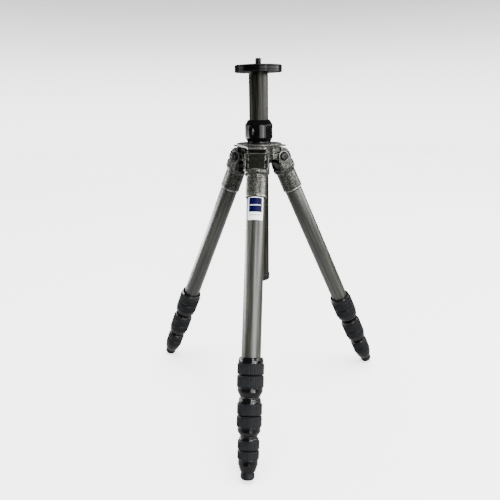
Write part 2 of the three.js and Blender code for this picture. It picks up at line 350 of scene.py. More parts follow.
def carbon_material(name, dark, middle, light, shine, smooth):
    """Lacquered unidirectional carbon: long wavy streaks of lighter and darker fibre."""
    m = Nodes(name, Coat_Weight=shine, Coat_Roughness=0.3, Specular_IOR_Level=shine)
    wander = m.noise((1, 1, 0.035), size=7, detail=2, distortion=0.8)
    streak = m.noise((1, 1, 0.03), size=2.6, detail=5, rough=0.62, distortion=0.9)
    fibre = m.noise((1, 1, 0.012), size=0.7, detail=2)
    both = m.math("MULTIPLY_ADD", wander, 0.5, m.math("MULTIPLY", streak, 0.5))
    color = m.ramp(both, (0.4, dark), (0.5, middle), (0.6, light))
    color = m.mix(m.math("MULTIPLY", fibre, 0.35), color, (0.012, 0.013, 0.01))
    rough = m.ramp(streak, (0.3, smooth), (0.7, smooth + 0.12))
    return m.feed(Base_Color=color, Roughness=rough, Normal=m.bump(fibre, 0.03, 0.35))


def hammertone_material():
    """Silver-grey hammer-finish paint: glossy dimpled cells, pale on the edges, partly for wear and
    partly as a painted highlight.
    """
    m = Nodes("hammertone", Metallic=0.6, Coat_Weight=0.15, Coat_Roughness=0.2)
    cells = m.noise((1, 1, 1), size=1.5, detail=3, rough=0.6, distortion=1.2)
    patches = m.noise((1, 1, 1), size=0.9, detail=2, distortion=2.0)
    dark, middle, light = (0.005, 0.006, 0.0045), (0.032, 0.035, 0.029), (0.22, 0.222, 0.195)
    color = m.ramp(cells, (0.43, dark), (0.53, middle), (0.64, light))
    # Convex edges painted pale: partly wear, partly a painted highlight.
    color = m.mix(m.edges(0.52, 0.57), color, (0.45, 0.445, 0.41))
    rough = m.ramp(patches, (0.35, 0.22), (0.65, 0.4))
    return m.feed(Base_Color=color, Roughness=rough, Normal=m.bump(cells, 0.3, 0.8))


def black_metal_material(name, smooth, rough, shine, coat):
    """Black anodised metal with fine turning marks and a few dust specks."""
    m = Nodes(name, Specular_IOR_Level=shine, Coat_Weight=coat, Coat_Roughness=0.05)
    turning = m.noise((0.05, 0.05, 1), size=0.25, detail=1)
    smears = m.noise((1, 1, 1), size=14, detail=4, rough=0.65)
    color = m.ramp(smears, (0.35, (0.0008, 0.0008, 0.001)), (0.7, (0.0025, 0.0025, 0.003)))
    color = m.mix(m.edges(0.53, 0.6), color, (0.012, 0.012, 0.013))
    roughness = m.ramp(smears, (0.3, smooth), (0.7, rough))
    return m.feed(Base_Color=color, Roughness=roughness, Normal=m.bump(turning, 0.003, 0.4))


def rubber_material():
    """Matte dark grey rubber, a little paler where hands rub it."""
    m = Nodes("rubber", Specular_IOR_Level=0.22)
    grain = m.noise((1, 1, 1), size=0.22, detail=2)
    wear = m.noise((1, 1, 1), size=7, detail=4, rough=0.6)
    color = m.ramp(wear, (0.3, (0.0026, 0.0033, 0.0042)), (0.7, (0.0054, 0.0067, 0.0083)))
    color = m.mix(m.edges(0.52, 0.6), color, (0.02, 0.022, 0.025))
    rough = m.ramp(wear, (0.3, 0.5), (0.7, 0.66))
    return m.feed(Base_Color=color, Roughness=rough, Normal=m.bump(grain, 0.04, 0.5))


def nylon_material():
    """Black moulded nylon with a fine spark-eroded grain."""
    m = Nodes("nylon", Specular_IOR_Level=0.15)
    grain = m.noise((1, 1, 1), size=0.3, detail=3)
    haze = m.noise((1, 1, 1), size=6, detail=3)
    color = m.ramp(haze, (0.35, (0.0008, 0.0008, 0.001)), (0.7, (0.0022, 0.0022, 0.0025)))
    color = m.mix(m.edges(0.53, 0.6), color, (0.01, 0.01, 0.01))
    rough = m.ramp(haze, (0.3, 0.32), (0.7, 0.48))
    return m.feed(Base_Color=color, Roughness=rough, Normal=m.bump(grain, 0.03, 0.4))


def catch_material():
    """Dark gunmetal of the angle catches, satin, rubbed bright along its edges."""
    m = Nodes("gunmetal", Metallic=0.6, Coat_Weight=0.15, Coat_Roughness=0.2)
    brushing = m.noise((1, 1, 0.06), size=0.35, detail=2)
    haze = m.noise((1, 1, 1), size=5, detail=3)
    color = m.ramp(haze, (0.35, (0.002, 0.0022, 0.0014)), (0.7, (0.009, 0.0095, 0.006)))
    color = m.mix(m.edges(0.53, 0.6), color, (0.07, 0.07, 0.055))
    rough = m.ramp(haze, (0.3, 0.26), (0.7, 0.4))
    return m.feed(Base_Color=color, Roughness=rough, Normal=m.bump(brushing, 0.02, 0.4))


def steel_material(name, light, dark):
    """Turned steel: fine rings of tool marks."""
    m = Nodes(name, Metallic=1.0)
    marks = m.noise((0.05, 0.05, 1), size=0.3, detail=2)
    haze = m.noise((1, 1, 1), size=3, detail=3)
    color = m.ramp(haze, (0.3, dark), (0.7, light))
    rough = m.ramp(haze, (0.3, 0.24), (0.7, 0.42))
    return m.feed(Base_Color=color, Roughness=rough, Normal=m.bump(marks, 0.02, 0.4))


LEG_CARBON = carbon_material(
    "leg_carbon", (0.005, 0.006, 0.004), (0.02, 0.021, 0.017), (0.06, 0.062, 0.05), 0.5, 0.36,
)
# The column's carbon is the leg carbon with its colours darkened as painted shade, and with less shine.
SHADED_COLUMN_CARBON = carbon_material(
    "column_carbon_shaded", (0.002, 0.002, 0.001), (0.011, 0.012, 0.009), (0.035, 0.035, 0.028), 0.06, 0.16,
)
HAMMERTONE = hammertone_material()
GLOSS_BLACK = black_metal_material("gloss_black", 0.12, 0.2, 0.3, 0.1)
PLATFORM_BLACK = black_metal_material("platform_black", 0.14, 0.22, 0.08, 0.02)
SATIN_BLACK = black_metal_material("satin_black", 0.12, 0.2, 0.18, 0.03)
RUBBER = rubber_material()
NYLON = nylon_material()
GUNMETAL = catch_material()
STEEL = steel_material("stud_steel", (0.14, 0.145, 0.15), (0.06, 0.062, 0.065))
DARK_STEEL = steel_material("bolt_steel", (0.045, 0.046, 0.046), (0.018, 0.018, 0.019))
WORN_METAL = steel_material("worn_metal", (0.16, 0.16, 0.15), (0.05, 0.05, 0.05))
BARE_METAL = steel_material("bare_metal", (0.5, 0.49, 0.46), (0.16, 0.16, 0.15))


def label_material(layout):
    """A gloss printed label: white, with a plain blue block, a pale bar on it and a grey rule below."""
    m = Nodes("label", Specular_IOR_Level=0.1)
    x, y, z = m.add("SeparateXYZ", {"Vector": m.place()}).outputs
    angle = m.math("ARCTAN2", x, m.math("MULTIPLY", y, -1.0))
    sideways = m.math("MULTIPLY", m.math("SUBTRACT", angle, layout["turn"]), layout["radius"])
    height = m.math("SUBTRACT", z, layout["middle"])

    def box(centre, half_width, half_height):
        inside_width = m.math("LESS_THAN", m.math("ABSOLUTE", sideways), half_width)
        offset = m.math("ABSOLUTE", m.math("SUBTRACT", height, centre))
        return m.math("MULTIPLY", inside_width, m.math("LESS_THAN", offset, half_height))

    haze = m.noise((1, 1, 1), size=5, detail=3)
    white = m.ramp(haze, (0.3, (0.88, 0.89, 0.9)), (0.7, (0.95, 0.95, 0.96)))
    blue = m.ramp(haze, (0.3, (0.0003, 0.0, 0.02)), (0.7, (0.0005, 0.0, 0.03)))
    color = m.mix(box(*layout["block"]), white, blue)
    color = m.mix(box(*layout["bar"]), color, (0.5, 0.52, 0.7))
    color = m.mix(box(*layout["rule"]), color, (0.5, 0.48, 0.44))
    rough = m.ramp(haze, (0.3, 0.4), (0.7, 0.55))
    return m.feed(Base_Color=color, Roughness=rough)


# ---- Shoulder ----
HUB = {"radius": 20, "bottom": -8, "bore": 15.1}
CAP = {"radius": 35, "bottom": 18.3, "top": 20.8}
PLATE = {"bottom": 15, "top": 17.4, "reach": 41.5, "half_width": 15, "waist": 26, "round": 4}
NECK = {"radius": 17, "top": 36, "fillet": 1, "band_low": 0.3, "band_high": 2.5, "band": 1.2}
LUG = {
    "radius": 8.5, "nose": 13.8, "half_width": 14.5, "bottom": -4.5, "nose_start": 131, "bolt": 4.5,
    "web": 4,
}
POCKET = {"inner": 16.5, "outer": 2.5, "low": 2.2, "slope": 4, "high": 13.8, "depth": 4.5}
# Black pads on the lug noses are painted shade: they stand in for the dark shade on the noses' fronts.
SHADE_PAD = {"start": 134, "end": 155, "half_width": 12.4, "stand": 0.35}
PIVOT_RADIUS = (LEG["front"].translation - COLUMN.translation).length / MM


def lobed_outline():
    points = []
    for lobe in range(3):
        middle = math.radians(-90 + 120 * lobe)
        along = Vector((math.cos(middle), math.sin(middle)))
        side = Vector((-along.y, along.x))
        valley = PLATE["waist"] * (along * 0.5 - side * math.sqrt(0.75))
        reach, width, waist = PLATE["reach"], PLATE["half_width"], PLATE["waist"]
        corners = [(waist, -width), (reach, -width), (reach, width), (waist, width)]
        points += [tuple(valley)] + [tuple(along * a + side * b) for a, b in corners]
    return rounded(points, PLATE["round"], 6)


def lug_outline():
    """In the side frame, as (y, z), with y inwards."""
    start = -90 - LUG["nose_start"]
    inner = PIVOT_RADIUS - HUB["bore"] - 2
    foot = math.degrees(math.asin(LUG["bottom"] / LUG["radius"]))
    low = arc((0, 0), LUG["radius"], foot, start, 20)
    nose = arc((0, 0), LUG["nose"], start, -270, 12)
    top = PLATE["bottom"] + OVERLAP
    return [(inner, LUG["bottom"]), *low, *nose, (LUG["web"], top), (inner, top)]


def shoulder():
    bore, radius, bottom, seat = HUB["bore"], HUB["radius"], HUB["bottom"], CAP["bottom"] + OVERLAP
    solids = [lathe([(bore, bottom), (radius, bottom), (radius, seat), (bore, seat)])]
    cutters = [rod(bore, -THROUGH, THROUGH)]
    inner, outer, low, high = POCKET["inner"], POCKET["outer"], POCKET["low"], POCKET["high"]
    pocket = rounded([(outer, low + POCKET["slope"]), (inner, low), (inner, high), (outer, high)], 1.5)
    floor = LUG["half_width"] - POCKET["depth"]
    for leg in LEGS:
        to_column = COLUMN.inverted() @ side_matrix(leg)
        to_column.translation /= MM
        solids.append(moved(prism(lug_outline(), -LUG["half_width"], LUG["half_width"]), to_column))
        cutters.append(moved(across(rod(LUG["bolt"], -THROUGH, THROUGH, 48)), to_column))
        for low, high in ((-LUG["half_width"] - 5, -floor), (floor, LUG["half_width"] + 5)):
            cutters.append(moved(prism(pocket, low, high), to_column))
    casting = cast(merged(*solids), cutters)
    piece("shoulder_hub", casting, COLUMN, HAMMERTONE, "shoulder",
          ["shoulder_casting"])

    plate = prism(lobed_outline(), PLATE["bottom"], PLATE["top"], 0.4, axis="Z")
    piece("shoulder_plate", plate, COLUMN, HAMMERTONE, "shoulder")

    neck, fillet, edge = NECK["radius"], NECK["fillet"], CAP["top"]
    profile = [(bore, CAP["bottom"]), (CAP["radius"], CAP["bottom"]), (CAP["radius"], edge),
               (neck + fillet, edge), (neck, edge + fillet), (neck, NECK["top"]), (bore, NECK["top"])]
    cap = lathe(rounded(profile, 0.45, 4), 144)
    piece("shoulder_cap", cap, COLUMN, HAMMERTONE, "shoulder")

    inner, low, high = neck + 0.05, edge + NECK["band_low"], edge + NECK["band_high"]
    outer = inner + NECK["band"]
    band = rounded([(inner, low), (outer, low), (outer, high), (inner, high)], 0.5)
    piece("neck_band", lathe(band, 120), COLUMN, SATIN_BLACK, "shoulder")

    # Painted shade: black pads that darken the fronts of the lug noses.
    for leg in LEGS:
        angles = (-90 - SHADE_PAD["start"], -90 - SHADE_PAD["end"])
        outer = arc((0, 0), LUG["nose"] + SHADE_PAD["stand"], *angles, 12)
        inner = arc((0, 0), LUG["nose"] - 1, *reversed(angles), 12)
        pad = prism([*outer, *inner], -SHADE_PAD["half_width"], SHADE_PAD["half_width"], 0.25)
        piece(f"nose_shade_pad_{leg}", pad, side_matrix(leg), NYLON, "shoulder")


# ---- Column ----
PLATFORM = {
    "hole": 5.1, "seat": 9.0, "recess": 2, "edge": 0.8, "groove": 0.35,
    "low_groove": 3.1, "high_groove": 2.6, "face_start": 4, "face_pitch": 3, "face_grooves": 7,
}
SET_SCREW = {"place": 22, "first": 50, "radius": 2.4, "bottom": -1.6, "top": 0.4, "socket": 1.25}


def platform():
    """The disc, with two grooves round its rim, fine rings on its face and three screws below."""
    low, high = span("platform_disc", COLUMN)
    radius, bottom, top = high.x, low.z, high.z
    p = PLATFORM
    groove, edge = p["groove"], p["edge"]
    rim = []
    for middle in (bottom + p["low_groove"], top - p["high_groove"]):
        rim += [(radius, middle - groove), (radius - groove, middle), (radius, middle + groove)]
    face = []
    for turn in range(p["face_grooves"]):
        middle = radius - p["face_start"] - p["face_pitch"] * turn
        face += [(middle + groove, top), (middle, top - groove / 2), (middle - groove, top)]
    recess = bottom + p["recess"]
    profile = [(p["seat"], bottom), (radius - edge, bottom), (radius, bottom + edge), *rim,
               (radius, top - edge), (radius - edge, top), *face, (p["hole"], top),
               (p["hole"], recess), (p["seat"], recess)]
    disc = lathe(profile, 192)
    piece("platform", disc, COLUMN, PLATFORM_BLACK, "column", ["platform_disc"])

    over = Matrix.Rotation(math.pi, 4, "X")
    shift = Matrix.Translation((SET_SCREW["place"] * MM, 0, (bottom + 0.1) * MM))
    for i in range(3):
        turn = Matrix.Rotation(math.radians(SET_SCREW["first"] + 120 * i), 4, "Z")
        screw = socket_head(*(SET_SCREW[key] for key in ("radius", "bottom", "top", "socket")))
        name = f"platform_set_screw_{i + 1}"
        piece(name, screw, COLUMN @ turn @ shift @ over, DARK_STEEL, "column")


def hexagon(radius, angle):
    """The distance from the middle to the side of a hexagon with that inner radius."""
    return radius / math.cos(angle % (math.pi / 3) - math.pi / 6)


def socket_head(radius, bottom, top, socket, depth=1.4):
    """A screw head about Z with a hexagonal socket in its top."""
    profile = [(0, top - depth), (socket, top - depth), (socket, top - 0.1), (socket + 0.25, top),
               (radius - 0.5, top), (radius - 0.15, top - 0.15), (radius, top - 0.5), (radius, bottom),
               (0, bottom)]
    return lathe(profile, 72, lambda r, h, a: hexagon(r, a) if r <= socket else r)


THREAD = {"pitch": 1.5875, "depth": 0.6, "start": 4, "taper": 1.0}


def stud():
    """The camera screw, with its thread cut as a real helix."""
    low, high = span("camera_stud", COLUMN)
    radius, pitch, depth = high.x, THREAD["pitch"], THREAD["depth"]
    start = span("platform_disc", COLUMN)[0].z + THREAD["start"]
    steps = 96
    heights = [start + (high.z - start) * i / steps for i in range(steps + 1)]
    profile = [(0, low.z), (radius - depth, low.z), (radius - depth, start - 0.2)]
    profile += [(radius, h) for h in heights] + [(0, high.z)]

    def thread(r, height, angle):
        if height < start or r < radius:
            return r
        phase = (height / pitch - angle / (2 * math.pi)) % 1
        taper = max(0.0, height - high.z + THREAD["taper"])
        return radius - depth * min(1, abs(2 * phase - 1) * 1.15) - taper * 0.5

    screw = lathe(profile, 64, thread)
    piece("stud", screw, COLUMN, STEEL, "column", ["camera_stud"])


RING = {
    "lower_edge": 5.8, "upper_edge": 7.3, "top_radius": 17.2, "bottom_radius": 18.4, "lip": 5, "step": 7,
}
SCALLOP = {"turn": 0.52, "half_width": 4.9, "half_height": 8.6, "depth": 2.1, "margin": 0.6}


def lock_ring():
    low, high = span("column_lock_ring", COLUMN)
    radius, bottom, top = high.x, low.z, high.z
    column = span("column_tube", COLUMN)[1].x
    inner, cavity = column + 0.6, NECK["radius"] + 0.5
    lower, upper = bottom + RING["lower_edge"], top - RING["upper_edge"]
    edge, margin = RING["top_radius"], SCALLOP["margin"]
    outline = [(cavity, bottom), (RING["bottom_radius"], bottom), (radius, lower), (radius, upper),
               (edge, top - 0.3), (edge - 0.4, top), (inner, top), (inner, top - RING["lip"]),
               (cavity, top - RING["step"])]
    outline = rounded(outline, 0.5, 3)
    # Close rows where the finger scallops are.
    start, end = lower + margin, upper - margin
    rows = [(radius, start + (end - start) * i / 40) for i in range(1, 40)]
    split = next(i for i, (r, h) in enumerate(outline) if h > start and r > radius - margin)
    profile = outline[:split] + rows + outline[split:]
    middle = (start + end) / 2

    def scallop(r, height, angle):
        if r < radius - margin:
            return r
        for i in range(3):
            centre = i * 2 * math.pi / 3 - math.pi / 2 - SCALLOP["turn"]
            turn = math.remainder(angle - centre, 2 * math.pi)
            along = (height - middle) / SCALLOP["half_height"]
            reach = (turn * radius / SCALLOP["half_width"]) ** 2 + along ** 2
            if reach < 1:
                return r - SCALLOP["depth"] * math.sqrt(1 - reach)
        return r

    ring = lathe(profile, 360, scallop)
    piece("lock_ring", ring, COLUMN, SATIN_BLACK, "column_lock", ["column_lock_ring"])


COLUMN_WALL = 1.6
INSERT = {"bore": 6, "seat": 8.6}


def column():
    """The centre column's tube, the insert that carries the platform and the plug at its foot."""
    low, high = span("column_tube", COLUMN)
    bore, radius = high.x - COLUMN_WALL, high.x
    outline = rounded([(bore, low.z), (radius, low.z), (radius, high.z), (bore, high.z)], 0.3)
    solid = lathe(outline, 96)
    piece("centre_column", solid, COLUMN, SHADED_COLUMN_CARBON, "column", ["column_tube"])

    top = span("column_insert", COLUMN)[1].z
    disc_bottom = span("platform_disc", COLUMN)[0].z
    outer, base, step = radius - 0.5, high.z + 0.1, disc_bottom - 0.05
    collar = [(INSERT["bore"], base), (outer, base), (outer, step), (INSERT["seat"], step),
              (INSERT["seat"], top), (INSERT["bore"], top)]
    solid = lathe(rounded(collar, 0.25), 96)
    piece("column_neck", solid, COLUMN, NYLON, "column", ["column_insert"])

    plug_low, plug_high = span("column_end_plug", COLUMN)
    r, tip, top = plug_high.x, plug_low.z, low.z - 0.1
    groove = r - 1.2
    plug = [(0, tip), (r - 5.5, tip), (r - 2.0, tip + 1.1), (r, tip + 3.2), (r, tip + 5),
            (groove, tip + 5.6), (groove, tip + 6.4), (r, tip + 7), (r, top - 1.8), (r - 0.9, top),
            (0, top)]
    solid = lathe(rounded(plug, 0.6), 96)
    piece("column_foot", solid, COLUMN, RUBBER, "column", ["column_end_plug"])


# ---- Legs ----
FORK = {
    "ear_inner": 15.8, "ear_outer": 18.9, "boss": 8.7, "shoulder": 17.2, "reach": 12, "flare": 13.6,
    "corner": 20.8, "base": 20.5, "ring": 24.8, "neck": 28.5, "neck_radius": 15.3, "ring_radius": 18.2,
    "floor": 30, "recess": 6.9, "recess_depth": 0.9, "bolt": 4.3, "rim": 2.4, "end_radius": 16,
}
# Black sheets on the ears' inner faces: painted shade inside the fork.
SHADE_SHIM = {"inner": 14.9, "outer": 15.7, "margin": 0.5, "end": 20.2}


def ear_outline(margin, end):
    """In the leg frame, as (y, z), standing margin inside the casting's own edge."""
    f = FORK
    boss, reach = f["boss"] - margin, f["reach"] - margin
    shoulder, flare = f["shoulder"] + margin, f["flare"] - margin
    return [*arc((0, 0), boss, 0, 180, 20), (-boss, -shoulder), (-reach + 2, -shoulder),
            (-reach, -shoulder - 1.6), (-reach, -end), (flare, -end)]


def fork(leg):
    """The leg's casting: two ears and a sleeve, with its bright rim, its seal and black ear shims that
    are painted shade.
    """
    end, end_radius = span(f"leg_fork_{leg}", LEG[leg])[0].z, FORK["end_radius"]
    bore = span(f"tube_1_{leg}", LEG[leg])[1].x + 0.15
    f = FORK
    ear = ear_outline(0, f["base"] + 1)
    corner = rod(f["corner"], -THROUGH, THROUGH)
    solids = []
    for side in (-1, 1):
        slab = prism(ear, side * f["ear_inner"], side * f["ear_outer"])
        solids.append(trimmed(slab, corner.copy()))
    corner.free()
    rim_top = end + f["rim"]
    sleeve = [(0, -f["base"]), (f["ring_radius"], -f["base"]), (f["ring_radius"], -f["ring"]),
              (f["neck_radius"], -f["neck"]), (end_radius - 0.1, rim_top), (0, rim_top)]
    solids.append(lathe(sleeve, 96))
    hole = across(rod(f["bolt"], -THROUGH, THROUGH, 48))
    cutters = [rod(bore, -f["floor"], end - 5), hole.copy()]
    for side in (-1, 1):
        recess = rod(f["recess"], side * (f["ear_outer"] - f["recess_depth"]), side * THROUGH, 64)
        cutters.append(across(recess))
    casting = cast(merged(*solids), cutters)
    body, place = f"leg_{leg}", LEG[leg]
    piece(f"fork_{leg}", casting, place, HAMMERTONE, body, [f"leg_fork_{leg}"])

    rim = [(bore, end), (end_radius - 0.6, end), (end_radius + 0.05, end + 0.8), (end_radius, rim_top),
           (bore, rim_top)]
    solid = lathe(rounded(rim, 0.3), 96)
    piece(f"sleeve_rim_{leg}", solid, place, BARE_METAL, body)

    seal_low, seal_high = end - 1.3, end - 0.02
    seal = [(bore, seal_low), (end_radius - 1.1, seal_low), (end_radius - 0.9, seal_high),
            (bore, seal_high)]
    solid = lathe(rounded(seal, 0.2), 96)
    piece(f"sleeve_seal_{leg}", solid, place, NYLON, body)

    # Black shims on the ears' inner faces stand in for the shade between the ears: painted shade.
    shade_sheet = ear_outline(SHADE_SHIM["margin"], SHADE_SHIM["end"])
    for side, name in ((-1, "a"), (1, "b")):
        plate = prism(shade_sheet, side * SHADE_SHIM["inner"], side * SHADE_SHIM["outer"])
        plate = cast(plate, [hole.copy()], voxel=0.25, smoothing=1)
        piece(f"ear_shade_shim_{leg}_{name}", plate, place, NYLON, body)
    hole.free()


BOLT = {"shaft": 4, "pin": 4.7, "proud": 0.9, "socket": 1.9}


def bolt(leg):
    """The pivot bolt: its shaft, and at each end a socket head in a washer."""
    head = span(f"pivot_bolt_{leg}", LEG[leg])[1]
    recess = FORK["ear_outer"] - FORK["recess_depth"]
    shaft = across(rod(BOLT["shaft"], -recess, recess, 48))
    body, place = f"leg_{leg}", LEG[leg]
    piece(f"bolt_shaft_{leg}", shaft, place, DARK_STEEL, body, [f"pivot_bolt_{leg}"])
    seat, bore = recess + 0.02, BOLT["pin"] + 0.1
    for side, name in ((-1, "a"), (1, "b")):
        turn = Matrix.Rotation(side * math.pi / 2, 4, "Y")
        screw = socket_head(BOLT["pin"], seat, head.x + BOLT["proud"], BOLT["socket"])
        piece(f"bolt_head_{leg}_{name}", moved(screw, turn), place, DARK_STEEL, body)
        washer = [(bore, seat), (head.z, seat), (head.z, head.x - 0.7), (head.z - 0.8, head.x),
                  (bore, head.x)]
        ring = moved(lathe(rounded(washer, 0.2), 64), turn)
        piece(f"bolt_washer_{leg}_{name}", ring, place, NYLON, body)


CATCH = {
    "shelf": 9.4, "face_depth": 1.6, "rail": 2.3, "notch": 8.6, "notch_end": 12.2, "groove": 0.35,
    "pitch": 2.9, "grooves": 8,
}


def catch(leg):
    """The angle catch: a block, a pressed front plate with cross grooves, and two side rails."""
    low, high = span(f"angle_catch_{leg}", LEG[leg])
    c, body, place = CATCH, f"catch_{leg}", LEG[leg]
    clear, face = LUG["radius"] + 0.5, low.y + c["face_depth"]
    top = -90 - math.degrees(math.atan2(-low.y, -high.z))
    outline = [*arc((0, 0), clear, top, -90, 14), (high.y, -c["shelf"]), (high.y, low.z), (face, low.z),
               (face, high.z - 0.3)]
    block = prism(outline, low.x + 0.1, high.x - 0.1, 0.3)
    piece(f"catch_{leg}", block, place, NYLON, body, [f"angle_catch_{leg}"])

    back, front = face + 0.02, low.y + 0.6
    heights = [low.z + 0.5 + c["pitch"] * i for i in range(c["grooves"])]
    steps = []
    for height in heights:
        if height < high.z - 2:
            steps += [(front + c["groove"], height), (front, height + 0.5), (front, height + 2.2)]
    top = high.z - 0.6
    outline = [(back, low.z + 0.3), *steps, (front + 0.6, top), (back, top)]
    panel = prism(outline, low.x + c["rail"], high.x - c["rail"], 0.1)
    piece(f"catch_face_{leg}", panel, place, GUNMETAL, body)

    for side, name in ((-1, "a"), (1, "b")):
        edge = sorted((side * (high.x - c["rail"] - 0.1), side * (high.x - 0.2)))
        for part, bottom, end in ((1, low.z + 0.4, -c["notch_end"]), (2, -c["notch"], high.z - 1.2)):
            rail = prism([(back, bottom), (low.y, bottom), (low.y, end), (back, end)], *edge, 0.5)
            piece(f"catch_rail_{leg}_{name}{part}", rail, place, WORN_METAL, body)


LEG_WALL = 1.2


def section_body(leg, section):
    return f"leg_{leg}" if section == 1 else f"section_{section}_{leg}"


def tube(leg, section):
    node = f"tube_{section}_{leg}"
    low, high = span(node, LEG[leg])
    bore, r = high.x - LEG_WALL, high.x
    profile = [(bore, low.z), (r, low.z), (r, high.z), (bore, high.z)]
    solid = lathe(rounded(profile, 0.25), 96)
    body = section_body(leg, section)
    piece(f"leg_tube_{section}_{leg}", solid, LEG[leg], LEG_CARBON, body, [node])


# For each lock: how far the grips stand proud, the collar's plain band above its grip and its
# narrower first step, and on the nut the plain band below the grip, the closing cone and how far
# the cone's tip stands off the tube inside.
LOCKS = (
    {"stand": 1.3, "band": 7.9, "step": 2.4, "plain": 6.0, "cone": 7.4, "tip": 2.2},
    {"stand": 1.7, "band": 7.1, "step": 3.2, "plain": 6.4, "cone": 6.5, "tip": 2.1},
    {"stand": 1.5, "band": 3.6, "step": 1.2, "plain": 7.2, "cone": 9.0, "tip": 2.6},
)
GRIP = {"chamfer": 1.1, "rib_pitch": 2.5, "rib_depth": 0.65, "edge": 1.5, "parting": 0.95}


def grip(name, leg, body, inner, outer, low, high):
    """A rubber ring with fine ribs along it and smooth chamfered edges."""
    edge, chamfer = GRIP["edge"], GRIP["chamfer"]
    ribs = round(2 * math.pi * outer / GRIP["rib_pitch"])
    profile = [(inner, low), (outer - chamfer, low), (outer, low + chamfer), (outer, high - chamfer),
               (outer - chamfer, high), (inner, high)]
    profile = rounded(profile, 0.5, 2)
    rows = [(outer, h) for h in (low + edge, low + edge + 0.5, high - edge - 0.5, high - edge)]
    split = next(i for i, (r, h) in enumerate(profile) if h > (low + high) / 2)
    profile = profile[:split] + rows + profile[split:]

    def ribbed(r, height, angle):
        inside = min(height - low, high - height) - edge
        if r < outer - 0.05 or inside < 0.4:
            return r
        wave = math.cos(angle * ribs)
        return r - GRIP["rib_depth"] * (0.5 - 0.5 * max(-1.0, min(1.0, 1.6 * wave)))

    ring = lathe(profile, ribs * 8, ribbed)
    piece(name, ring, LEG[leg], RUBBER, body)


def collar(leg, lock):
    node = f"lock_{lock}_collar_{leg}"
    low, high = span(node, LEG[leg])
    nut_top = span(f"lock_{lock}_nut_{leg}", LEG[leg])[1].z
    bore = span(f"tube_{lock}_{leg}", LEG[leg])[1].x + 0.1
    body = section_body(leg, lock)
    sizes = LOCKS[lock - 1]
    grip_radius = high.x
    r, top = grip_radius - sizes["stand"], high.z
    under = r - 0.6
    grip_top = top - sizes["band"]
    grip_low = nut_top + GRIP["parting"]
    step = top - sizes["step"]
    spigot = bore + 1.7
    profile = [(bore, top), (r - 1.3, top), (under, top - 0.6), (under, step), (r, step - 0.5),
               (r, grip_top - 0.3), (under, grip_top - 0.8), (under, grip_low + 0.8),
               (r, grip_low - 0.1), (r - 0.4, nut_top + 0.5), (spigot, nut_top + 0.5), (spigot, low.z),
               (bore, low.z)]
    solid = lathe(rounded(profile, 0.3, 2), 120)
    piece(f"collar_{lock}_{leg}", solid, LEG[leg], GLOSS_BLACK, body, [node])
    grip(f"collar_grip_{lock}_{leg}", leg, body, r - 0.5, grip_radius, grip_low, grip_top)


def nut(leg, lock):
    node = f"lock_{lock}_nut_{leg}"
    low, high = span(node, LEG[leg])
    inner_tube = span(f"tube_{lock + 1}_{leg}", LEG[leg])[1].x
    spigot = span(f"tube_{lock}_{leg}", LEG[leg])[1].x + 2.0
    sizes = LOCKS[lock - 1]
    grip_radius = high.x
    r, end = grip_radius - sizes["stand"], low.z
    under, lip = r - 0.6, r + 0.5
    cone = end + sizes["cone"]
    grip_top = high.z - 0.15
    grip_low = cone + sizes["plain"]
    tip = inner_tube + sizes["tip"]
    bore, mouth = spigot + 0.3, inner_tube + 0.15
    profile = [(mouth, end), (tip, end), (tip + 0.2, end + 0.9), (r, cone), (r, grip_low - 0.9),
               (lip, grip_low - 0.5), (lip, grip_low + 0.1), (under, grip_low + 0.7),
               (under, grip_top - 0.7), (r + 0.2, grip_top - 0.2), (r, high.z), (bore, high.z),
               (bore, cone + 1), (mouth, cone - 1)]
    solid = lathe(rounded(profile, 0.3, 2), 120)
    body = f"nut_{lock}_{leg}"
    piece(f"nut_{lock}_{leg}", solid, LEG[leg], GLOSS_BLACK, body, [node])
    grip(f"nut_grip_{lock}_{leg}", leg, body, r - 0.5, grip_radius, grip_low, grip_top)


TREADS = (2.2, 4.2)
FOOT_PLUG = 6.4


def foot(leg):
    """The rubber foot, with two ring treads below, a groove round it and a plug up the tube."""
    low, high = span(f"foot_{leg}", LEG[leg])
    radius, end = high.x, low.z
    tube_end = span(f"tube_4_{leg}", LEG[leg])[0].z
    top = tube_end - 0.1
    treads = []
    for r in TREADS:
        treads += [(r - 0.6, end), (r - 0.3, end + 0.6), (r + 0.3, end + 0.6), (r + 0.6, end)]
    groove, lip = radius - 0.9, radius - 0.4
    outline = [(0, end), *treads, (radius - 3.6, end), (radius - 1.4, end + 0.9), (radius, end + 3.2),
               (radius, top - 2.8), (groove, top - 2.2), (groove, top - 1.2), (lip, top - 0.7),
               (lip, top), (FOOT_PLUG, top), (FOOT_PLUG, high.z), (0, high.z)]
    solid = lathe(rounded(outline, 0.4, 3), 96)
    body = section_body(leg, 4)
    piece(f"rubber_foot_{leg}", solid, LEG[leg], RUBBER, body, [f"foot_{leg}"])


LABEL = {"half_turn": 50.5, "turn": 3.5, "corner": 1.2, "gap": 0.04, "print": 0.2, "face": 0.3}
# Each shape's middle below the label's top edge, then half its width and half its height.
ARTWORK = {"block": (12.6, 10.4, 10.7), "bar": (12.9, 8.4, 0.8), "rule": (27.6, 8.8, 0.9)}


